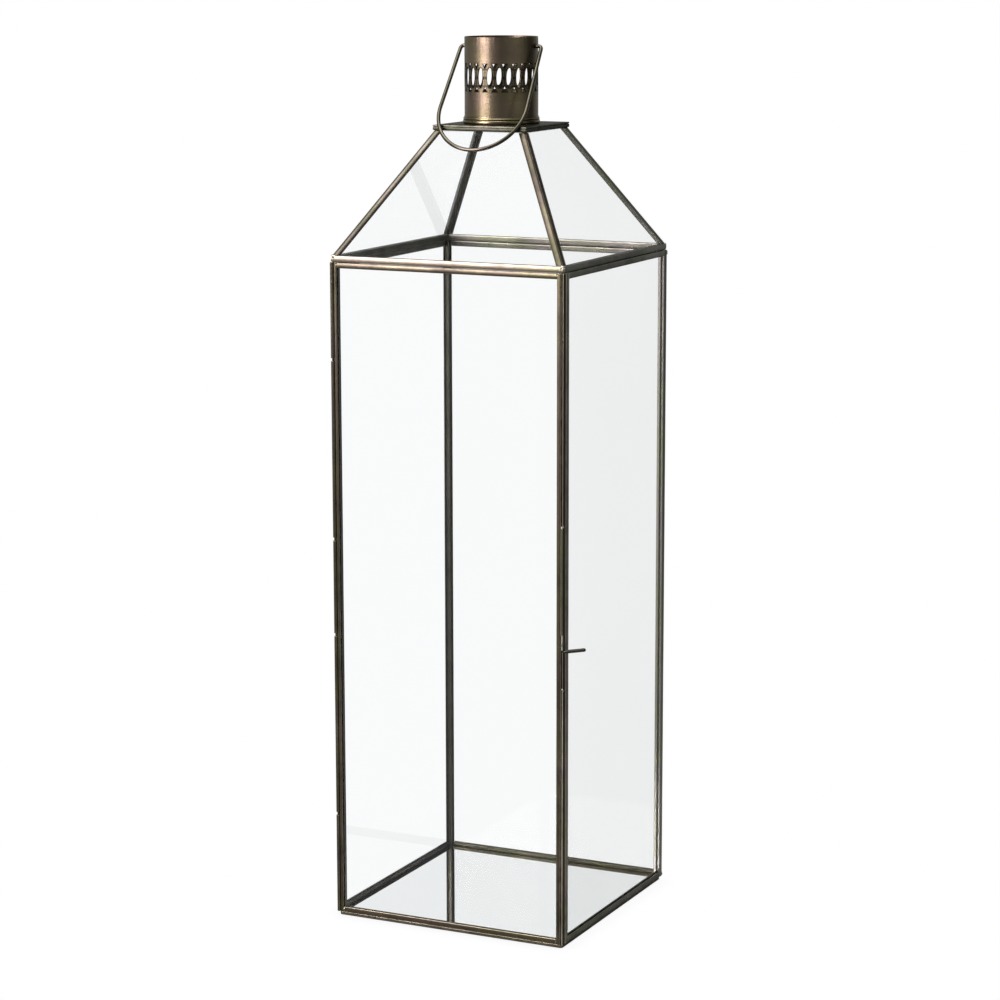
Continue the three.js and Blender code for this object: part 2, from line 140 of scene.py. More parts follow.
# ---- materials -----------------------------------------------------
class Nodes:
    """The node tree of a material or a world, with short calls for the nodes used here."""

    def __init__(self, owner, output="ShaderNodeOutputMaterial"):
        owner.use_nodes = True
        self.owner = owner
        self.tree = owner.node_tree
        self.tree.nodes.clear()
        self.output = self.add(output)

    def add(self, kind, **settings):
        node = self.tree.nodes.new(kind)
        for key, value in settings.items():
            setattr(node, key, value)
        return node

    def link(self, source, target):
        self.tree.links.new(source, target)

    def place(self, scale):
        """Object coordinates stretched by scale along x, y and z."""
        coordinates = self.add("ShaderNodeTexCoord")
        mapping = self.add("ShaderNodeMapping")
        mapping.inputs["Scale"].default_value = scale
        self.link(coordinates.outputs["Object"], mapping.inputs["Vector"])
        return mapping.outputs["Vector"]

    def noise(self, scale, detail=4.0, roughness=0.55):
        """Noise between 0 and 1; scale is one number or one for each axis."""
        stretch = scale if isinstance(scale, tuple) else (scale, scale, scale)
        node = self.add("ShaderNodeTexNoise")
        node.inputs["Scale"].default_value = 1.0
        node.inputs["Detail"].default_value = detail
        node.inputs["Roughness"].default_value = roughness
        self.link(self.place(stretch), node.inputs["Vector"])
        return node.outputs["Fac"]

    def remap(self, value, low, high, to_low, to_high):
        node = self.add("ShaderNodeMapRange")
        node.inputs["From Min"].default_value = low
        node.inputs["From Max"].default_value = high
        node.inputs["To Min"].default_value = to_low
        node.inputs["To Max"].default_value = to_high
        self.link(value, node.inputs["Value"])
        return node.outputs["Result"]

    def math(self, operation, first, second):
        node = self.add("ShaderNodeMath", operation=operation)
        for socket, value in zip(node.inputs, (first, second)):
            if isinstance(value, (int, float)):
                socket.default_value = value
            else:
                self.link(value, socket)
        return node.outputs["Value"]

    def blend(self, share, first, second):
        """A colour between first and second, which are colours or sockets."""
        node = self.add("ShaderNodeMix", data_type="RGBA")
        self.link(share, node.inputs[0])
        for socket, value in zip((node.inputs[6], node.inputs[7]), (first, second)):
            if isinstance(value, tuple):
                socket.default_value = (*value, 1.0)
            else:
                self.link(value, socket)
        return node.outputs[2]

    def tint(self, colour, other):
        """Two colours multiplied."""
        node = self.add("ShaderNodeMix", data_type="RGBA", blend_type="MULTIPLY")
        node.inputs[0].default_value = 1.0
        self.link(colour, node.inputs[6])
        self.link(other, node.inputs[7])
        return node.outputs[2]

    def ramp(self, value, stops):
        """A colour ramp over (place, colour) stops in rising order."""
        node = self.add("ShaderNodeValToRGB")
        self.link(value, node.inputs["Fac"])
        elements = node.color_ramp.elements
        for index, (place, colour) in enumerate(stops):
            stop = elements[index] if index < 2 else elements.new(place)
            stop.position = place
            stop.color = (*colour, 1.0)
        return node.outputs["Color"]

    def seen(self):
        """1 for what is seen directly, through glass or in the mirror, 0 for what lights the metal."""
        path = self.add("ShaderNodeLightPath")
        return self.math("MAXIMUM", path.outputs["Is Camera Ray"], path.outputs["Is Singular Ray"])

    def mix(self, share, first, second):
        """A shader between first and second."""
        node = self.add("ShaderNodeMixShader")
        for socket, value in zip(node.inputs, (share, first, second)):
            self.link(value, socket)
        return node.outputs["Shader"]

    def surface(self, shader):
        """Ends the tree with this shader, and gives back what the tree belongs to."""
        self.link(shader, self.output.inputs["Surface"])
        return self.owner

    def bump(self, height, distance, strength, normal=None):
        node = self.add("ShaderNodeBump")
        node.inputs["Strength"].default_value = strength
        node.inputs["Distance"].default_value = distance
        self.link(height, node.inputs["Height"])
        if normal is not None:
            self.link(normal, node.inputs["Normal"])
        return node.outputs["Normal"]


def patina(name, plain, dark, worn, rough, brushed=None, alone=False, gap_shade=0.92, relief=1.0):
    """Darkened brass: cloudy patina, fine specks, painted shade in the gaps, and lighter rubbed edges.

    The wear attribute is 1 where an edge is rubbed bright, and all over the latch lever's leg, where it
    is a painted highlight; it is -1 where the surface is painted black: painted shade where bars and
    tubes nearly touch, and the blackened edges of the chimney's holes.
    A piece that is alone gets painted shade only in its own gaps, not against its neighbours.
    grime is how dark the painted shade in the gaps is, relief scales the unevenness, and brushed, on
    brushed metal, is how fine the lines are along x, y and z.
    """
    nodes = Nodes(bpy.data.materials.new(name))
    clouds = nodes.noise(45.0, detail=5.0)
    specks = nodes.remap(nodes.noise(900.0, detail=3.0), 0.56, 0.74, 0.0, 0.55)
    colour = nodes.blend(nodes.remap(clouds, 0.36, 0.66, 0.0, 1.0), plain, dark)
    colour = nodes.blend(specks, colour, dark)
    hue = nodes.remap(nodes.noise(26.0), 0.4, 0.6, 0.0, 1.0)
    colour = nodes.tint(colour, nodes.blend(hue, (1.06, 0.97, 1.0), (0.98, 1.0, 0.80)))
    # Rubbed edges lighten towards the worn colour; the latch lever's leg, marked rubbed all over, takes
    # it as a painted highlight.
    wear_and_painted_light = nodes.add("ShaderNodeAttribute", attribute_name="wear_and_painted_light").outputs["Fac"]
    patchy = nodes.remap(nodes.noise(160.0), 0.3, 0.6, 0.2, 1.0)
    rub = nodes.math("MULTIPLY", nodes.math("MAXIMUM", wear_and_painted_light, 0.0), patchy)
    colour = nodes.blend(rub, colour, worn)
    # Points marked -1 are painted near black: painted shade where bars and tubes nearly touch, and the
    # blackened edges of the chimney's holes.
    colour = nodes.blend(nodes.remap(wear_and_painted_light, -1.0, 0.0, 0.9, 0.0), colour, PAINTED_BLACK)
    # Painted shade: the colour goes near black where ambient occlusion finds a narrow gap.
    gaps = nodes.add("ShaderNodeAmbientOcclusion", samples=8, only_local=alone)
    gaps.inputs["Distance"].default_value = SHADE_REACH
    colour = nodes.blend(nodes.remap(gaps.outputs["AO"], 0.25, 0.8, gap_shade, 0.0), colour, PAINTED_BLACK)
    roughness = nodes.remap(clouds, 0.3, 0.7, rough - 0.04, rough + 0.06)
    normal = nodes.bump(nodes.noise(1300.0, detail=2.0), 0.03 * MM, 0.5 * relief)
    normal = nodes.bump(nodes.noise(220.0, detail=2.0), 0.08 * MM, 0.4 * relief, normal)
    if brushed is not None:
        lines = nodes.noise(brushed, detail=3.0, roughness=0.7)
        roughness = nodes.math("ADD", roughness, nodes.remap(lines, 0.35, 0.65, -0.06, 0.06))
        normal = nodes.bump(lines, 0.03 * MM, 1.0, normal)
    shader = nodes.add("ShaderNodeBsdfPrincipled")
    shader.inputs["Metallic"].default_value = 1.0
    nodes.link(colour, shader.inputs["Base Color"])
    nodes.link(roughness, shader.inputs["Roughness"])
    nodes.link(normal, shader.inputs["Normal"])
    return nodes.surface(shader.outputs["BSDF"])


def clear_glass(name, shine_level):
    """Thin sheet glass: seen through, with a reflection that grows towards grazing angles.

    shine_level is how bright the reflection is; what it lacks is lost from the light that comes through.
    """
    nodes = Nodes(bpy.data.materials.new(name))
    fresnel = nodes.add("ShaderNodeFresnel")
    fresnel.inputs["IOR"].default_value = 1.37
    faces = nodes.add("ShaderNodeNewGeometry")
    front = nodes.math("SUBTRACT", 1.0, faces.outputs["Backfacing"])
    share = nodes.math("MULTIPLY", fresnel.outputs["Fac"], front)
    uneven = nodes.remap(nodes.noise(6.0, detail=1.0), 0.3, 0.7, 1.0, 1.15)
    share = nodes.math("MULTIPLY", share, uneven)
    lost = nodes.math("MULTIPLY", share, 1.0 - shine_level)
    through = nodes.add("ShaderNodeBsdfTransparent")
    nodes.link(nodes.blend(lost, (0.992, 0.995, 0.996), (0.0, 0.0, 0.0)), through.inputs["Color"])
    shine = nodes.add("ShaderNodeBsdfGlossy")
    shine.inputs["Color"].default_value = (*WHITE, 1.0)
    shine.inputs["Roughness"].default_value = 0.0
    share = nodes.math("MULTIPLY", share, shine_level)
    return nodes.surface(nodes.mix(share, through.outputs["BSDF"], shine.outputs["BSDF"]))


def mirror():
    """Silvered glass with a very faint haze."""
    nodes = Nodes(bpy.data.materials.new("mirror"))
    haze = nodes.blend(nodes.noise(18.0), (0.85, 0.86, 0.86), (0.81, 0.825, 0.825))
    shader = nodes.add("ShaderNodeBsdfPrincipled")
    shader.inputs["Metallic"].default_value = 1.0
    shader.inputs["Roughness"].default_value = 0.0
    nodes.link(haze, shader.inputs["Base Color"])
    return nodes.surface(shader.outputs["BSDF"])


# Finishes of the brass: plain patina, dark patches, rubbed edges, roughness. On the latch lever's leg the
# rubbed-edge colour is a painted highlight.
BRASS = ((0.185, 0.158, 0.126), (0.080, 0.072, 0.059), (0.62, 0.54, 0.44), 0.30)
MEETING_BRASS = {  # painted shade also in the gaps where a piece meets its neighbours
    "antique_brass": BRASS,
    "dark_antique_brass": ((0.140, 0.123, 0.102), (0.062, 0.056, 0.047), (0.55, 0.48, 0.39), 0.28),
    "brushed_antique_brass": ((0.212, 0.172, 0.134), (0.146, 0.119, 0.093), (0.60, 0.50, 0.38), 0.33),
    # A pale grey finish: on the back-right post and hip it is painted light.
    "grey_brass": ((0.36, 0.37, 0.345), (0.30, 0.305, 0.29), (0.40, 0.40, 0.38), 0.42),
    "solder": ((0.48, 0.46, 0.42), (0.25, 0.24, 0.22), (0.80, 0.77, 0.71), 0.26),
}
LONE_BRASS = {  # painted shade only in a piece's own gaps
    "glazing_brass": BRASS,
    # A near-white copy: a painted highlight for the lower jamb strip.
    "highlight_painted_brass": ((0.70, 0.67, 0.62), (0.34, 0.32, 0.29), (0.92, 0.89, 0.84), 0.48),
    # A darker copy of the brass: painted shade for the back and left pieces, the front-left post, and the
    # cap plate and its frame.
    "shade_painted_brass": ((0.076, 0.074, 0.064), (0.040, 0.040, 0.035), (0.24, 0.23, 0.20), 0.42),
    # The darkest copy: painted shade for the back bottom rail.
    "olive_brass": ((0.052, 0.050, 0.036), (0.030, 0.029, 0.022), (0.20, 0.19, 0.15), 0.42),
    # A lighter, greyer copy: painted light for the side and back rails, whose faces take a grey tone from
    # the studio light.
    "side_brass": ((0.250, 0.250, 0.235), (0.130, 0.130, 0.122), (0.60, 0.58, 0.54), 0.30),
    # A paler copy: painted light for the front roof rail and the pieces at the front-right corner.
    "pale_brass": ((0.38, 0.335, 0.295), (0.22, 0.195, 0.170), (0.78, 0.70, 0.62), 0.30),
    "tube_brass": ((0.230, 0.210, 0.175), (0.110, 0.102, 0.085), (0.66, 0.60, 0.50), 0.24),
    # A paler, more golden copy: painted light for the foot ring's bright bead.
    "bead_brass": ((0.310, 0.262, 0.180), (0.170, 0.144, 0.102), (0.66, 0.58, 0.42), 0.24),
    "wire_brass": ((0.150, 0.134, 0.118), (0.080, 0.072, 0.064), (0.70, 0.63, 0.54), 0.17),
    # A paler copy: painted light for the latch tube's highlight line.
    "latch_brass": ((0.38, 0.36, 0.29), (0.20, 0.19, 0.15), (0.66, 0.62, 0.52), 0.20),
    # Dark, with a near-white worn colour that paints a highlight on the lever's leg.
    "lever_brass": ((0.072, 0.070, 0.066), (0.040, 0.040, 0.038), (0.96, 0.93, 0.86), 0.42),
}
EXTRAS = {
    "brushed_antique_brass": {"brushed": (30.0, 30.0, 2600.0)},
    "grey_brass": {"gap_shade": 0.0, "relief": 0.2},
}
MATERIALS = {
    **{name: patina(name, *look, **EXTRAS.get(name, {})) for name, look in MEETING_BRASS.items()},
    **{name: patina(name, *look, alone=True) for name, look in LONE_BRASS.items()},
    "clear_glass": clear_glass("clear_glass", 0.85),
    "shaded_glass": clear_glass("shaded_glass", 0.10),  # for panes that face the studio's dark side
    "mirror": mirror(),
}

# These pieces take another finish than their slot's; the notes at the finishes above say which copies of
# the brass are painted light and which painted shade.
FINISHES = {
    "highlight_painted_brass": ["jamb_strip_lower"],
    "lever_brass": ["latch_lever"],
    "wire_brass": ["bail_handle"],
    "bead_brass": ["chimney_foot_ring"],
    "latch_brass": ["latch_tube"],
    "glazing_brass": ["hip_front_right"],
    "tube_brass": [*HINGE_TUBES, *KNUCKLES, "hip_front_left"],
    "pale_brass": ["roof_rail_front", "jamb_strip_upper", "post_front_right"],
    "grey_brass": ["hip_back_right", "post_back_right"],
    "side_brass": [
        "rail_bottom_right", "rail_top_right", "rail_top_back", "rail_top_left",
        "roof_rail_right", "roof_rail_back", "roof_rail_left",
    ],
    "olive_brass": ["rail_bottom_back"],
    "shade_painted_brass": [
        "post_front_left", "post_back_left", "hip_back_left", "rail_bottom_left", "cap_plate",
        *[f"cap_rail_{side}" for side in ("front", "right", "back", "left")],
    ],
    "shaded_glass": ["pane_right", "pane_back", "roof_pane_right", "roof_pane_front"],
}
FINISH_NAMES = {node: finish for finish, nodes in FINISHES.items() for node in nodes}


# ---- mesh helpers --------------------------------------------------
def finish_of(node):
    """The node's own finish, or its slot's."""
    return MATERIALS[FINISH_NAMES.get(node, SLOTS[node])]


def make_object(name, verts, faces, material, wear_and_painted_light=None, sharp=35.0):
    """A smooth-shaded object whose creases over sharp degrees stay crisp."""
    mesh = bpy.data.meshes.new(name)
    mesh.from_pydata([tuple(v) for v in verts], [], faces)
    if wear_and_painted_light is not None:
        mesh.attributes.new("wear_and_painted_light", "FLOAT", "POINT").data.foreach_set("value", wear_and_painted_light)
    shell = bmesh.new()
    shell.from_mesh(mesh)
    bmesh.ops.recalc_face_normals(shell, faces=shell.faces)
    shell.to_mesh(mesh)
    shell.free()
    mesh.shade_smooth()
    mesh.set_sharp_from_angle(angle=math.radians(sharp))
    mesh.materials.append(material)
    piece = bpy.data.objects.new(name, mesh)
    bpy.context.scene.collection.objects.link(piece)
    normals = piece.modifiers.new("normals", "WEIGHTED_NORMAL")
    normals.keep_sharp = True
    return piece


def stand_in(node, verts, faces, wear_and_painted_light=None, sharp=35.0):
    """A finer piece shown in place of one CAD node, on the same body and in the same finish."""
    piece = make_object(f"{node}_shown", verts, faces, finish_of(node), wear_and_painted_light, sharp)
    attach(piece, frame["nodes"][node]["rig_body"])
    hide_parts(node)


def wobbled(point):
    """The point, moved a little by a smooth field, so that long bars aren't dead straight."""
    drift = [noise.noise(point / WOBBLE_LENGTH + Vector(shift)) for shift in WOBBLE_SHIFTS]
    return point + Vector(drift) * WOBBLE


def rounded(corners, steps=4):
    """An anticlockwise outline of right angles with its outward corners rounded: (u, v, wear) points."""
    outline = []
    count = len(corners)
    for index, corner in enumerate(corners):
        here = Vector(corner)
        arriving = here - Vector(corners[index - 1])
        leaving = Vector(corners[(index + 1) % count]) - here
        if arriving.x * leaving.y - arriving.y * leaving.x <= 0:
            outline.append((here.x, here.y, 0.0))
            continue
        size = min(CORNER_RADIUS, 0.4 * arriving.length, 0.4 * leaving.length)
        into = arriving.normalized() * size
        away = leaving.normalized() * size
        centre = here - into + away
        for step in range(steps + 1):
            angle = step / steps * math.pi / 2
            point = centre - away * math.cos(angle) + into * math.sin(angle)
            outline.append((point.x, point.y, 0.55 * math.sin(2 * angle)))
    return outline


def crowned(outline, width, depth, amount=CROWN):
    """The outline with its two outer faces, u = 0 and v = 0, slightly domed."""
    long_side = 0.35 * min(width, depth)
    points = []
    for index, (u, v, rub) in enumerate(outline):
        points.append((u, v, rub))
        after = outline[(index + 1) % len(outline)]
        if math.hypot(after[0] - u, after[1] - v) > long_side:
            for share in (0.2, 0.4, 0.6, 0.8):
                points.append((u + (after[0] - u) * share, v + (after[1] - v) * share, 0.0))
    return [
        (
            u + amount * (2 * v / depth - 1) ** 2 * max(0.0, 1 - 2 * u / width),
            v + amount * (2 * u / width - 1) ** 2 * max(0.0, 1 - 2 * v / depth),
            rub,
        )
        for u, v, rub in points
    ]


def inset(outline, amount):
    """The outline moved inwards by amount, fully worn, for a bar's chamfered ends."""
    moved = []
    for index, (u, v, _) in enumerate(outline):
        before = outline[index - 1]
        after = outline[(index + 1) % len(outline)]
        along = Vector((after[0] - before[0], after[1] - before[1])).normalized()
        moved.append((u - along.y * amount, v + along.x * amount, 0.8))
    return moved


def skin(size, count, looped=False):
    """Faces over count rings of size vertices, which follow each other in the vertex list.

    A looped skin joins its last ring to its first, and any other has a cap at each end.
    """
    faces = []
    for ring in range(count if looped else count - 1):
        low = ring * size
        high = (ring + 1) % count * size
        for index in range(size):
            after = (index + 1) % size
            faces.append((low + index, low + after, high + after, high + index))
    if not looped:
        faces.append(tuple(range(size)))
        faces.append(tuple(range((count - 1) * size, count * size)))
    return faces


def bar(node, outline, place, length):
    """A bar with chamfered ends: place(u, v, share) puts a section point at a share of the length."""
    chamfer = END_CHAMFER / length
    spans = max(2, round(length / WOBBLE_LENGTH * 1.5))
    middle = [chamfer + (1 - 2 * chamfer) * index / spans for index in range(spans + 1)]
    small = inset(outline, END_CHAMFER)
    rings = [(0.0, small), *[(share, outline) for share in middle], (1.0, small)]
    verts = [wobbled(place(u, v, share)) for share, ring in rings for u, v, _ in ring]
    wear_and_painted_light = [rub for _, ring in rings for _, _, rub in ring]
    stand_in(node, verts, skin(len(outline), len(rings)), wear_and_painted_light)


# ---- grooved bars --------------------------------------------------
def came_section(width, depth):
    """A bar with one channel for a pane, which opens at u = width; v is the depth behind the face."""
    near = (depth - GROOVE) / 2
    far = near + GROOVE
    floor = width - GROOVE_DEPTH
    face = [(0, 0), (width, 0)]
    channel = [(width, near), (floor, near), (floor, far), (width, far)]
    return crowned(rounded([*face, *channel, (width, depth), (0, depth)]), width, depth)


def corner_section(leg, depth, groove, inner, bite=GROOVE_DEPTH):
    """A corner bar of two legs, each with a channel bite deep for a pane, and inner lips cut to inner."""
    near = (depth - groove) / 2
    far = near + groove
    floor = leg - bite
    along_u = [(leg, 0), (leg, near), (floor, near), (floor, far), (inner, far)]
    along_v = [(v, u) for u, v in reversed(along_u)]
    return crowned(rounded([(0, 0), *along_u, (inner, inner), *along_v]), leg, leg, CORNER_CROWN)


def plain_section(width, depth):
    """A bar with no channel."""
    return crowned(rounded([(0, 0), (width, 0), (width, depth), (0, depth)]), width, depth)


def with_painted_shade(outline, covers):
    """The outline with the points that covers(u, v) picks painted black: painted shade, as where two bars
    nearly touch.
    """
    return [(u, v, -1.0 if covers(u, v) else rub) for u, v, rub in outline]


def jamb_section(width, depth):
    """The jamb is painted black down the side next to the post: painted shade in the gap between them."""
    return with_painted_shade(plain_section(width, depth), lambda u, v: u > 0.75 * width)


def latch_post_section(width, depth):
    """The post beside the latch is painted black down the side next to the jamb: painted shade in the gap
    between them.
    """
    return with_painted_shade(came_section(width, depth), lambda u, v: u < 0.3 * width and v > 0.75 * depth)


def back_post_section(width, _):
    """A back post holds two panes."""
    return corner_section(width, CAME_DEPTH, GROOVE, width)


def straight_bar(node, across, inward, section=came_section, mitred=False, drop=0.0):
    """A bar in its node's box: across is the section's u direction, and inward its v direction."""
    low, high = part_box(node)
    low.z -= drop
    size = high - low
    u_axis, v_axis = AXES[across], AXES[inward]
    run = Vector([abs(value) for value in u_axis.cross(v_axis)])
    length = run.dot(size)
    start = Vector([high[k] if u_axis[k] + v_axis[k] < 0 else low[k] for k in range(3)])

    def place(u, v, share):
        cut = v if mitred else 0.0
        return start + u_axis * u + v_axis * v + run * (cut + (length - 2 * cut) * share)

    bar(node, section(abs(u_axis.dot(size)), abs(v_axis.dot(size))), place, length)


def build_bars():
    """Every straight bar of the body, the door, the roof frame and the cap frame."""
    straight_bar("door_stile_hinge", "+X", "+Y")
    straight_bar("door_stile_latch", "-X", "+Y")
    straight_bar("door_rail_bottom", "+Z", "+Y")
    straight_bar("door_rail_top", "-Z", "+Y")
    straight_bar("jamb_strip_lower", "+X", "+Y", jamb_section)
    straight_bar("jamb_strip_upper", "+X", "+Y", jamb_section)
    straight_bar("post_front_left", "+Y", "+X")
    straight_bar("post_front_right", "+Y", "-X", latch_post_section)
    for level, up in (("bottom", "+Z"), ("top", "-Z")):
        for side, inward in (("left", "+X"), ("right", "-X"), ("back", "-Y")):
            straight_bar(f"rail_{level}_{side}", up, inward)
    straight_bar("post_back_left", "+X", "-Y", back_post_section)
    straight_bar("post_back_right", "-X", "-Y", back_post_section)
    for frame_name, drop in (("roof_rail", ROOF_DROP), ("cap_rail", 0.0)):
        for side, inward in (("front", "+Y"), ("right", "-X"), ("back", "-Y"), ("left", "+X")):
            straight_bar(f"{frame_name}_{side}", "+Z", inward, plain_section, mitred=True, drop=drop)


def build_hips():
    """The four hip bars lean in at the same rate along x and y, so a level cut keeps its shape."""
    low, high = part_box("hip_front_left")
    height = high.z - low.z
    lean = (high.x - low.x - HIP_LEG) / height
    slope = math.hypot(1, lean)
    outline = corner_section(HIP_LEG, CAME_DEPTH * slope, GROOVE * slope, HIP_LEG - HIP_LIP_CUT, HIP_BITE)
    face = 0.1 * HIP_LEG
    # Bands painted black on two hips: painted shade beside the front-right hip's ridge and along the
    # front-left hip's inner edge.
    shaded_bands = {
        "front_right": lambda u, v: u < face and 0.12 * HIP_LEG < v < 0.3 * HIP_LEG,
        "front_left": lambda u, v: v < face and u > 0.9 * HIP_LEG,
    }
    for quarter, name in enumerate(("front_left", "front_right", "back_right", "back_left")):
        turn = Matrix.Rotation(quarter * math.pi / 2, 3, "Z")

        def place(u, v, share, turn=turn):
            shift = lean * height * share
            return turn @ Vector((low.x + shift + u, low.y + shift + v, low.z + height * share))

        section = with_painted_shade(outline, shaded_bands[name]) if name in shaded_bands else outline
        bar(f"hip_{name}", section, place, height * slope)


# ---- turned and bent pieces ----------------------------------------
def turned(profile, centre, segments):
    """Vertices of a closed (radius, z) profile swept round a vertical axis, a ring for each point."""
    return [
        Vector((
            centre.x + radius * math.cos(math.tau * index / segments),
            centre.y + radius * math.sin(math.tau * index / segments),
            z,
        ))
        for radius, z in profile
        for index in range(segments)
    ]


def tube_profile(outer, bore, low, high):
    """A closed tube section with rounded outer rims: 10 points, of which 3 to 6 are the outer wall."""
    lower = []
    for angle in (0, 0.52, 1.05, 1.57):
        lower.append((outer - TUBE_SOFT * (1 - math.sin(angle)), low + TUBE_SOFT * (1 - math.cos(angle))))
    upper = [(radius, low + high - z) for radius, z in reversed(lower)]
    return [(bore, low), *lower, *upper, (bore, high)]


def tube(node, bore, shade_columns=()):
    """A tube in its node's box, with rubbed rims; soot lists its columns that are painted black as
    painted shade.
    """
    low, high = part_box(node)
    profile = tube_profile((high.x - low.x) / 2, bore, low.z, high.z)
    wear_and_painted_light = []
    for ring in range(len(profile)):
        rub = 0.0 if 3 <= ring <= 6 else 0.6
        wear_and_painted_light += [-1.0 if column in shade_columns else rub for column in range(TUBE_SIDES)]
    verts = turned(profile, (low + high) / 2, TUBE_SIDES)
    stand_in(node, verts, skin(TUBE_SIDES, len(profile), looped=True), wear_and_painted_light)


def build_tubes():
    """The hinge barrel with its rod, and the tube in which the latch turns."""
    for node in HINGE_TUBES + KNUCKLES:
        tube(node, HINGE_BORE)
    tube("latch_tube", LATCH_BORE, LATCH_SHADE)
    low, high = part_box("hinge_rod")
    x, y = (low.x + high.x) / 2, (low.y + high.y) / 2
    path = [Vector((x, y, z)) for z in (low.z, (low.z + high.z) / 2, high.z)]
    wire("hinge_rod", path, (high.x - low.x) / 2)


def swept(stations, side):
    """Vertices of a round section carried along (point, radius) stations without twisting."""
    verts = []
    for index, (point, radius) in enumerate(stations):
        before = stations[max(index - 1, 0)][0]
        after = stations[min(index + 1, len(stations) - 1)][0]
        along = (after - before).normalized()
        side = (side - along * side.dot(along)).normalized()
        other = along.cross(side)
        for step in range(WIRE_SIDES):
            angle = math.tau * step / WIRE_SIDES
            verts.append(point + (side * math.cos(angle) + other * math.sin(angle)) * radius)
    return verts


def wire(node, path, radius):
    """A round wire along a path with slightly rounded ends."""
    soft = 0.35 * radius
    first = (path[1] - path[0]).normalized()
    last = (path[-1] - path[-2]).normalized()
    stations = [(path[0], radius - soft), (path[0] + first * soft, radius)]
    stations += [(point, radius) for point in path[1:-1]]
    stations += [(path[-1] - last * soft, radius), (path[-1], radius - soft)]
    verts = swept(stations, first.orthogonal())
    stand_in(node, verts, skin(WIRE_SIDES, len(stations)), sharp=50.0)


def build_bail():
    """The bail lies in a plane through its pivots; its reach and tilt come from the node's box."""
    low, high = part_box("bail_handle")
    pivot_z = JOINTS["handle_swing"]["pos_m"][2]
    drop = Vector((0, low.y + BAIL_WIRE, low.z + BAIL_WIRE - pivot_z))
    down = drop.normalized()
    radius = (high.x - low.x) / 2 - BAIL_WIRE
    centre = drop.length - radius
    half = [(BAIL_END, 0.0), ((BAIL_END + BAIL_STRAIGHT) / 2, 0.0), (BAIL_STRAIGHT, 0.0)]
    for step in range(1, 8):  # the bend
        share = step / 8
        x = BAIL_STRAIGHT * (1 - share) ** 2 + BAIL_SHOULDER * (2 * share - share ** 2)
        half.append((x, BAIL_BEND * share ** 2))
    for step in range(13):  # the straight side
        share = step / 12
        x = BAIL_SHOULDER + (radius - BAIL_SHOULDER) * share
        half.append((x, BAIL_BEND + (centre - BAIL_BEND) * share))
    for step in range(1, 25):  # half of the round bottom
        angle = step / 24 * math.pi / 2
        half.append((radius * math.cos(angle), centre + radius * math.sin(angle)))
    flat = half + [(-x, reach) for x, reach in reversed(half[:-1])]
    wire("bail_handle", [Vector((x, 0, pivot_z)) + down * reach for x, reach in flat], BAIL_WIRE)


def build_lever():
    """The latch wire: a headed leg down its tube, a tight bend, and a thicker round-ended lever."""
    axis = Vector(JOINTS["latch_turn"]["pos_m"])
    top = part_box("latch_lever")[1].z
    level = math.cos(LEVER_RISE)
    out = Vector((math.cos(LEVER_HEADING) * level, math.sin(LEVER_HEADING) * level, math.sin(LEVER_RISE)))

    def on_axis(z):
        return Vector((axis.x, axis.y, z))

    foot = on_axis(LEVER_FOOT)
    stations = [(on_axis(top), LEVER_HEAD), (on_axis(top - 1.0 * MM), LEVER_HEAD)]
    stations += [(on_axis(top - 1.05 * MM), LEVER_THIN), (on_axis(LEVER_FOOT + LEVER_BEND), LEVER_THIN)]
    leg = len(stations)
    for step in range(1, 6):
        share = step / 6
        rise = Vector((0, 0, LEVER_BEND * (1 - share) ** 2))
        stations.append((foot + rise + out * LEVER_BEND * share ** 2, LEVER_THIN))
    for share, radius in ((0.10, 0.68), (0.15, 0.85), (0.22, 0.95), (0.32, 1.0), (0.5, 1.0), (0.7, 1.0)):
        stations.append((foot + out * LEVER_LENGTH * share, max(LEVER_THIN, LEVER_THICK * radius)))
    for step in range(7):  # the round tip
        angle = step / 6 * math.pi / 2 * 0.97
        reach = LEVER_LENGTH - LEVER_THICK * (1 - math.sin(angle))
        stations.append((foot + out * reach, LEVER_THICK * math.cos(angle)))
    # The whole leg is marked rubbed, so it takes the lever finish's near-white worn colour: a painted
    # highlight.
    wear_and_painted_light = [1.0 if index < leg else 0.0 for index in range(len(stations)) for _ in range(WIRE_SIDES)]
    verts = swept(stations, Vector((1, 0, 0)))
    stand_in("latch_lever", verts, skin(WIRE_SIDES, len(stations)), wear_and_painted_light, sharp=50.0)


# ---- chimney -------------------------------------------------------
def vent_outline(points=9):
    """The tall vent in the middle of a cell, from its lower tip up its right side and back."""
    right = []
    for step in range(points + 1):
        angle = math.pi * step / points
        x = VENT["width"] / 2 * math.sin(angle)
        right.append((x, VENT["z"] - VENT["height"] / 2 * math.cos(angle)))
    return right + [(-x, z) for x, z in reversed(right[1:-1])]


def cell_border(half, low, high):
    """The outline of one cell, 2 half wide, with half of the small piercings cut out of its sides."""
    lower, upper = PIERCING["z"]
    apex, sill = lower + PIERCING["height"], upper - PIERCING["height"]
    tip = half - PIERCING["width"] / 2
    side = [(half, z) for z in (low, (low + lower) / 2, lower - PIERCING_EDGE, lower)]
    side += [(tip, lower)]
    side += [(half, z) for z in (apex, apex + PIERCING_EDGE, VENT["z"], sill - PIERCING_EDGE, sill)]
    side += [(tip, upper)]
    side += [(half, z) for z in (upper, upper + PIERCING_EDGE, (upper + high) / 2, high - RIM, high)]
    steps = [half - 2 * half * step / CELL_COLUMNS for step in range(1, CELL_COLUMNS)]
    top = [(x, high) for x in steps]
    bottom = [(-x, low) for x in steps]
    return side + top + [(-x, z) for x, z in reversed(side)] + bottom


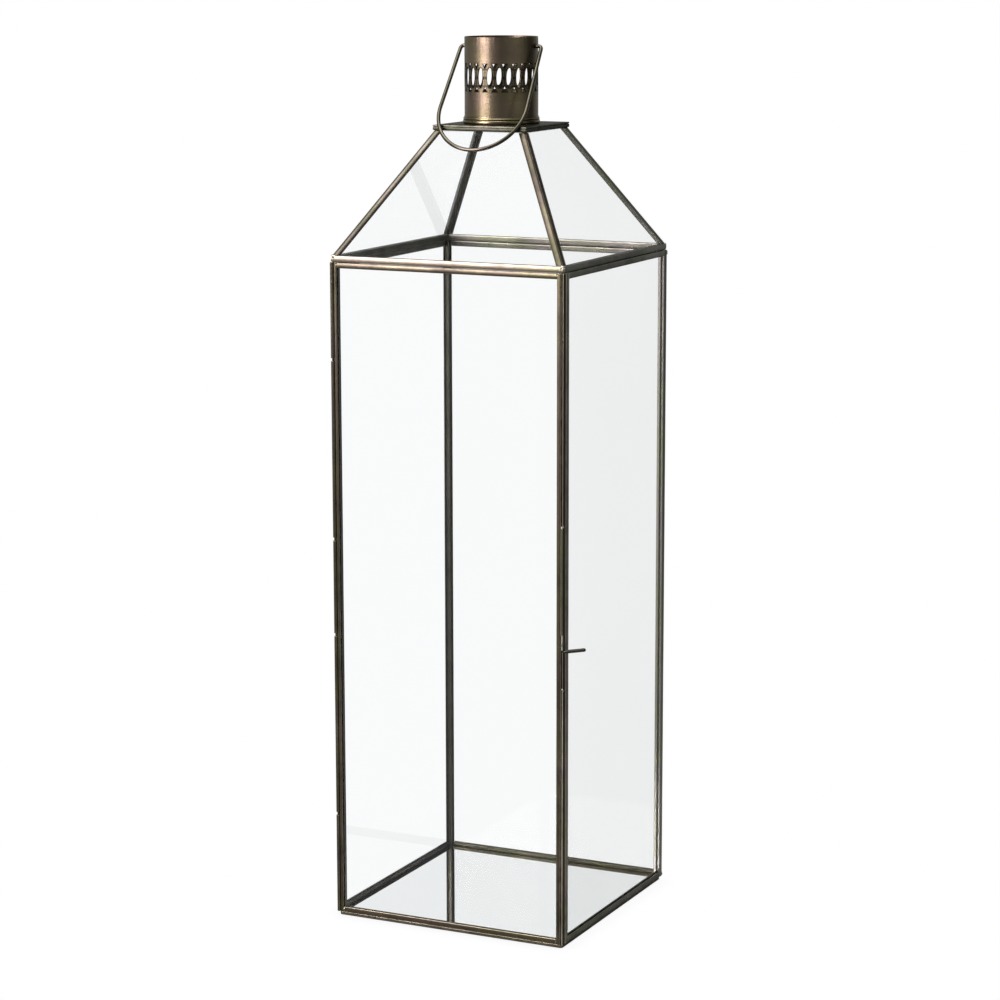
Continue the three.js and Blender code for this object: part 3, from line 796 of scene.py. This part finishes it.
def inside(point, outline):
    """Whether a point is inside a closed outline."""
    x, y = point
    crossings = False
    for (ax, ay), (bx, by) in zip(outline, outline[1:] + outline[:1]):
        if (ay > y) != (by > y) and x < (bx - ax) * (y - ay) / (by - ay) + ax:
            crossings = not crossings
    return crossings


def loop(start, count):
    """The edges of a closed outline of count points."""
    return [(start + index, start + (index + 1) % count) for index in range(count)]


def flat_cell(half, low, high):
    """One cell of the wall laid flat: its points, triangles, and which points are on a stamped edge."""
    border = cell_border(half, low, high)
    hole = vent_outline()
    lower, upper = PIERCING["z"]
    rows = [low + 6 * MM, low + 14 * MM, high - 12 * MM, high - 5 * MM, high - RIM]
    rows += [lower - PIERCING_EDGE, lower + 2 * MM]
    rows += [VENT["z"] + offset * MM for offset in (-5, -2, 2, 5)]
    rows += [upper - 2 * MM, upper + PIERCING_EDGE]
    grid = []
    for z in rows:
        for step in range(1, CELL_COLUMNS):
            point = (-half + 2 * half * step / CELL_COLUMNS, z)
            clear = min(math.hypot(point[0] - x, point[1] - y) for x, y in hole + border)
            if inside(point, border) and not inside(point, hole) and clear > 0.4 * MM:
                grid.append(point)
    points = [Vector(point) for point in border + hole + grid]
    edges = loop(0, len(border)) + loop(len(border), len(hole))
    flat, _, triangles, _, _, _ = geometry.delaunay_2d_cdt(points, edges, [], 0, 1e-7)
    kept = []
    for triangle in triangles:
        middle = sum((Vector(flat[i]) for i in triangle), Vector((0, 0))) / 3
        if inside(middle, border) and not inside(middle, hole):
            kept.append(triangle)
    stamped = hole + [(x, z) for x, z in border if lower - SAME < z < upper + SAME]
    black = [any(math.hypot(point.x - x, point.y - z) < SAME for x, z in stamped) for point in flat]
    return flat, kept, black


def thickened(shell, layer, radius):
    """Gives the outer wall an inner twin, and joins the two along every open edge."""
    boundary = [edge for edge in shell.edges if len(edge.link_faces) == 1]
    faces = list(shell.faces)
    inner = {}
    for vert in list(shell.verts):
        share = (radius - SHEET) / math.hypot(vert.co.x, vert.co.y)
        twin = shell.verts.new((vert.co.x * share, vert.co.y * share, vert.co.z))
        twin[layer] = vert[layer]
        inner[vert] = twin
    for face in faces:
        shell.faces.new([inner[vert] for vert in reversed(face.verts)])
    for edge in boundary:
        first, second = edge.verts
        shell.faces.new((first, second, inner[second], inner[first]))
    bmesh.ops.recalc_face_normals(shell, faces=shell.faces)


def pierced(wall, height, radius):
    """The wall with the handle's two holes cut by a level pin: its vertices, faces and wear."""
    shell = bmesh.new()
    bmesh.ops.create_cone(
        shell, cap_ends=True, segments=24, radius1=PIVOT_HOLE, radius2=PIVOT_HOLE, depth=2.4 * radius,
        matrix=Matrix.Translation((0, 0, height)) @ Matrix.Rotation(math.pi / 2, 4, "Y"),
    )
    pin = bpy.data.meshes.new("pin")
    shell.to_mesh(pin)
    shell.free()
    pieces = [bpy.data.objects.new(mesh.name, mesh) for mesh in (wall, pin)]
    for piece in pieces:
        bpy.context.scene.collection.objects.link(piece)
    cutting = pieces[0].modifiers.new("pin", "BOOLEAN")
    cutting.operation = "DIFFERENCE"
    cutting.solver = "EXACT"
    cutting.object = pieces[1]
    cut = bpy.data.meshes.new_from_object(pieces[0].evaluated_get(bpy.context.evaluated_depsgraph_get()))
    verts = [vert.co.copy() for vert in cut.vertices]
    faces = [tuple(face.vertices) for face in cut.polygons]
    wear_and_painted_light = [value.value for value in cut.attributes["wear_and_painted_light"].data]
    for index, vert in enumerate(verts):
        if math.hypot(vert.y, vert.z - height) < 1.02 * PIVOT_HOLE:
            wear_and_painted_light[index] = -1.0
    for piece in pieces:
        bpy.data.objects.remove(piece)
    for mesh in (wall, pin, cut):
        bpy.data.meshes.remove(mesh)
    return verts, faces, wear_and_painted_light


def build_chimney():
    """The pierced wall: one flat cell is meshed, copied round the tube and given its thickness."""
    low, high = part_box("chimney")
    radius = (high.x - low.x) / 2
    flat, triangles, black = flat_cell(math.pi * radius / VENT_COUNT, low.z, high.z)
    shell = bmesh.new()
    layer = shell.verts.layers.float.new("wear_and_painted_light")
    for cell in range(VENT_COUNT):
        turn = VENT_START + cell * math.tau / VENT_COUNT
        made = []
        for point, is_black in zip(flat, black):
            angle = turn + point.x / radius
            reach = radius - (RIM_SOFT if abs(point.y - high.z) < SAME else 0.0)
            vert = shell.verts.new((reach * math.cos(angle), reach * math.sin(angle), point.y))
            vert[layer] = -1.0 if is_black else 0.0
            made.append(vert)
        for triangle in triangles:
            shell.faces.new([made[i] for i in triangle])
    bmesh.ops.remove_doubles(shell, verts=shell.verts, dist=SAME)
    loose = [vert for vert in shell.verts if not vert.link_faces]
    bmesh.ops.delete(shell, geom=loose, context="VERTS")
    thickened(shell, layer, radius)
    wall = bpy.data.meshes.new("wall")
    shell.to_mesh(wall)
    shell.free()
    verts, faces, wear_and_painted_light = pierced(wall, JOINTS["handle_swing"]["pos_m"][2], radius)
    stand_in("chimney", verts, faces, wear_and_painted_light, sharp=40.0)


def build_foot_ring():
    """Two rolled beads with a soft flare above them."""
    low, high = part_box("chimney_foot_ring")
    outer = (high.x - low.x) / 2
    height = high.z - low.z
    inner = outer - 0.8 * MM
    neck = inner + 0.25 * MM
    beads = ((0.28, 0.27, 1.45), (0.70, 0.14, 0.9))  # middle, half height, reach
    profile = [(inner, low.z), (neck + 0.2 * MM, low.z)]
    for middle, half, reach in beads:
        for step in range(9):
            angle = math.pi * (step / 8 - 0.5)
            bulge = neck + (outer - neck) * reach * math.cos(angle)
            profile.append((bulge, low.z + height * (middle + half * math.sin(angle))))
    profile += [(inner + 0.12 * MM, low.z + height * 0.93), (inner, high.z)]
    verts = turned(profile, Vector((0, 0, 0)), RING_SIDES)
    stand_in("chimney_foot_ring", verts, skin(RING_SIDES, len(profile), looped=True), sharp=60.0)


# ---- sheet pieces --------------------------------------------------
def rounded_square(half, radius, steps=6):
    """Points of a square outline with round corners, anticlockwise from the +X side's upper end."""
    points = []
    for quarter, (sx, sy) in enumerate(((1, 1), (-1, 1), (-1, -1), (1, -1))):
        for step in range(steps + 1):
            angle = (quarter + step / steps) * math.pi / 2
            x = (half - radius) * sx + radius * math.cos(angle)
            points.append((x, (half - radius) * sy + radius * math.sin(angle)))
    return points


def build_tray():
    """A folded sheet tray with soft corners, open at the top."""
    low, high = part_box("base_tray")
    half = (high.x - low.x) / 2
    floor = low.z + TRAY_SHEET
    rings = [  # how far in, height, wear
        (0.5 * MM, low.z, 0.5),
        (0.18 * MM, low.z + 0.12 * MM, 0.5),
        (0.0, low.z + 0.45 * MM, 0.5),
        (0.0, high.z - 0.3 * MM, 0.3),
        (0.12 * MM, high.z - 0.06 * MM, 0.9),
        (0.35 * MM, high.z, 0.6),
        (TRAY_SHEET, high.z - 0.05 * MM, 0.0),
        (TRAY_SHEET, floor + 0.3 * MM, 0.0),
        (TRAY_SHEET + 0.4 * MM, floor, 0.0),
    ]
    verts = []
    wear_and_painted_light = []
    for step_in, z, rub in rings:
        outline = rounded_square(half - step_in, max(TRAY_CORNER - step_in, 0.5 * MM))
        verts += [(x, y, z) for x, y in outline]
        wear_and_painted_light += [rub] * len(outline)
    stand_in("base_tray", verts, skin(len(verts) // len(rings), len(rings)), wear_and_painted_light)


def square(half, angle):
    """The point of a square outline in the direction of angle."""
    reach = half / max(abs(math.cos(angle)), abs(math.sin(angle)))
    return reach * math.cos(angle), reach * math.sin(angle)


def circle(radius, angle):
    """The point of a round outline in the direction of angle."""
    return radius * math.cos(angle), radius * math.sin(angle)


def build_cap_plate():
    """The square plate with its vent hole; its edge folds down to the frame under it."""
    low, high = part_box("cap_plate")
    half = (high.x - low.x) / 2
    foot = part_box("cap_rail_front")[1].z
    angles = [math.tau * (index + 0.5) / RING_SIDES for index in range(RING_SIDES)]
    angles = sorted(angles + [math.pi / 4 + quarter * math.pi / 2 for quarter in range(4)])
    rings = [  # outline, its size, height, wear
        (square, half - 0.1 * MM, foot + 0.02 * MM, 0.2),
        (square, half, foot + 0.15 * MM, 0.2),
        (square, half, high.z - 0.35 * MM, 0.4),
        (square, half - 0.12 * MM, high.z - 0.1 * MM, 1.0),
        (square, half - 0.4 * MM, high.z, 0.6),
        (square, half - 1.2 * MM, high.z, 0.0),
        (circle, 31 * MM, high.z, 0.0),
        (circle, VENT_HOLE, high.z, 0.2),
        (circle, VENT_HOLE, low.z, 0.0),
    ]
    verts = [(*outline(size, angle), z) for outline, size, z, _ in rings for angle in angles]
    wear_and_painted_light = [rub for *_, rub in rings for _ in angles]
    stand_in("cap_plate", verts, skin(len(angles), len(rings), looped=True), wear_and_painted_light)


# ---- solder --------------------------------------------------------
def solder(name, spots, body="root"):
    """Small uneven drops of solder, one at each spot: (centre, half sizes)."""
    dice = random.Random(name)
    shell = bmesh.new()
    for centre, size in spots:
        drop = bmesh.ops.create_icosphere(shell, subdivisions=3, radius=1.0)["verts"]
        seed = Vector((dice.uniform(0, 50), dice.uniform(0, 50), dice.uniform(0, 50)))
        for vert in drop:
            swell = 1.0 + 0.38 * noise.noise(vert.co * 1.3 + seed)
            swell += 0.12 * noise.noise(vert.co * 3.7 + seed)
            vert.co = Vector(centre) + vert.co * Vector(size) * swell
    verts = [vert.co.copy() for vert in shell.verts]
    faces = [tuple(vert.index for vert in face.verts) for face in shell.faces]
    shell.free()
    piece = make_object(name, verts, faces, MATERIALS["solder"], [0.4] * len(verts), sharp=60.0)
    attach(piece, body)


def build_solder():
    """Solder where the bars meet at the corners of the body, the roof, the cap and the door."""
    post_low, post_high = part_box("post_back_right")
    roof_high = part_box("roof_rail_front")[1]
    cap_low, cap_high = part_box("cap_rail_front")
    back = post_high.x - 1.7 * MM
    latch_corner = (post_high.x - 1.0 * MM, 2.6 * MM - post_high.x, 1.0 * MM)  # clear of the door
    corners = [(-back, back, 1.9 * MM), latch_corner, (back, back, 1.9 * MM)]
    low, high = post_low.z + 2.2 * MM, post_high.z - 2.4 * MM
    solder("solder_body_bottom", [((x, y, low), (size, size, 2.2 * MM)) for x, y, size in corners])
    solder("solder_body_top", [((x, y, high), (size, size, 2.3 * MM)) for x, y, size in corners])
    for name, reach, z, size in (
        ("solder_roof", roof_high.x - 1.8 * MM, roof_high.z - 0.9 * MM, (2.4 * MM, 2.4 * MM, 1.7 * MM)),
        ("solder_cap", cap_high.x - 2.2 * MM, cap_low.z + 0.6 * MM, (1.9 * MM, 1.9 * MM, 1.3 * MM)),
    ):
        solder(name, [((x, y, z), size) for x in (-reach, reach) for y in (-reach, reach)])

    jamb_low, jamb_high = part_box("jamb_strip_lower")
    joint = (jamb_high.x - 0.9 * MM, jamb_low.y + 0.3 * MM, jamb_high.z)
    solder("solder_jamb", [(joint, (0.75 * MM, 0.6 * MM, 1.5 * MM))])

    hinge_low, hinge_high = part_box("door_stile_hinge")
    y = hinge_low.y + 1.3 * MM
    heights = (hinge_low.z + 2.1 * MM, hinge_high.z - 2.1 * MM)
    size = (1.2 * MM, 1.2 * MM, 2.0 * MM)
    edges = (hinge_high.x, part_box("door_stile_latch")[0].x)
    solder("solder_door", [((x, y, z), size) for x in edges for z in heights], "door")


def finish_kept_nodes():
    """The panes and the mirror are right as they are and only take their finish."""
    for node, obj in frame["nodes"].items():
        if SLOTS[node] in ("clear_glass", "mirror"):
            obj.data.materials.clear()
            obj.data.materials.append(finish_of(node))


# ---- studio --------------------------------------------------------
def build_world():
    """White to the camera and in mirrors; the metal reflects a soft room of light and dark walls."""
    world = bpy.data.worlds.new("studio")
    bpy.context.scene.world = world
    nodes = Nodes(world, "ShaderNodeOutputWorld")
    direction = nodes.add("ShaderNodeTexCoord").outputs["Generated"]
    parts = nodes.add("ShaderNodeSeparateXYZ")
    nodes.link(direction, parts.inputs["Vector"])
    heading = nodes.math("ARCTAN2", parts.outputs["Y"], parts.outputs["X"])
    levels = (  # degrees round from +X, and brightness
        (-180, 0.50), (-150, 0.50), (-110, 0.40), (-62, 0.26), (-40, 0.50), (-10, 0.55),
        (15, 0.30), (32, 0.03), (48, 0.06), (66, 0.30), (85, 0.45), (110, 0.45),
    )
    walls = nodes.ramp(nodes.remap(heading, -math.pi, math.pi, 0.0, 1.0), [
        ((angle + 180) / 360, (0.97 * level, level, 0.93 * level)) for angle, level in levels
    ])
    shares = (  # steepness upwards, and share of that brightness
        (-0.35, 0.25), (-0.03, 1.0), (0.12, 1.0), (0.24, 0.35), (0.40, 0.35), (0.55, 1.0),
    )
    dimming = nodes.ramp(nodes.remap(parts.outputs["Z"], -1.0, 1.0, 0.0, 1.0), [
        ((z + 1) / 2, (share, share, share)) for z, share in shares
    ])
    room = nodes.add("ShaderNodeVectorMath", operation="SCALE")
    nodes.link(walls, room.inputs[0])
    nodes.link(dimming, room.inputs["Scale"])
    background = nodes.add("ShaderNodeBackground")
    nodes.link(nodes.blend(nodes.seen(), room.outputs["Vector"], WHITE), background.inputs["Color"])
    nodes.surface(background.outputs["Background"])


def build_floor():
    """A wide pale floor, blown out to white where the camera sees it, with a faint contact shadow."""
    reach = 0.8
    corners = [(-reach, -reach, 0), (reach, -reach, 0), (reach, reach, 0), (-reach, reach, 0)]
    mesh = bpy.data.meshes.new("studio_floor")
    mesh.from_pydata(corners, [], [(0, 1, 2, 3)])
    floor = bpy.data.objects.new("studio_floor", mesh)
    floor.location.z = -0.2 * MM
    bpy.context.scene.collection.objects.link(floor)
    nodes = Nodes(bpy.data.materials.new("studio_floor"))
    pale = nodes.add("ShaderNodeBsdfDiffuse")
    pale.inputs["Color"].default_value = (0.30, 0.30, 0.29, 1.0)
    contact = nodes.add("ShaderNodeAmbientOcclusion", samples=8)
    contact.inputs["Distance"].default_value = 20 * MM
    white = nodes.add("ShaderNodeEmission")
    nodes.link(nodes.remap(contact.outputs["AO"], 0.2, 0.9, 0.9, 1.0), white.inputs["Strength"])
    mesh.materials.append(
        nodes.surface(nodes.mix(nodes.seen(), pale.outputs["BSDF"], white.outputs["Emission"]))
    )


def softbox(name, centre, target, width, height, radiance, colour=WHITE):
    """A rectangular soft light that faces its target, with a given brightness of its face."""
    light = bpy.data.lights.new(name, "AREA")
    light.shape = "RECTANGLE"
    light.size = width
    light.size_y = height
    light.energy = radiance * math.pi * width * height
    light.color = colour
    lamp = bpy.data.objects.new(name, light)
    lamp.location = centre
    lamp.rotation_euler = (Vector(target) - Vector(centre)).to_track_quat("-Z", "Y").to_euler()
    bpy.context.scene.collection.objects.link(lamp)


def build_lights():
    """A warm key light at the front left, and a wide weak one overhead."""
    warm = (1.0, 0.94, 0.88)
    softbox("key", (-1.10, -1.90, 1.25), (0, 0, 1.25), width=1.0, height=1.5, radiance=11.0, colour=warm)
    softbox("top", (-0.5, -0.5, 2.3), (-0.5, -0.5, 0.0), width=1.9, height=1.9, radiance=3.0)


def build_camera():
    """The viewing angle of a standing product picture, a little above the lantern's middle."""
    camera = bpy.data.cameras.new("camera")
    camera.sensor_width = 36.0
    camera.lens = 108.285
    camera.clip_start = 0.05
    place = Matrix.Translation((1.02799, -2.13146, 0.76881))
    yaw = Matrix.Rotation(0.4501, 4, "Z")
    pitch = Matrix.Rotation(math.pi / 2 - 0.1832, 4, "X")
    roll = Matrix.Rotation(-0.0018, 4, "Z")
    eye = bpy.data.objects.new("camera", camera)
    eye.matrix_world = place @ (yaw @ pitch @ roll)
    bpy.context.scene.collection.objects.link(eye)
    bpy.context.scene.camera = eye


build_camera()
build_world()
build_floor()
build_lights()
build_bars()
build_hips()
build_tubes()
build_lever()
build_bail()
build_chimney()
build_foot_ring()
build_tray()
build_cap_plate()
build_solder()
finish_kept_nodes()
bpy.context.scene.view_settings.view_transform = "Standard"
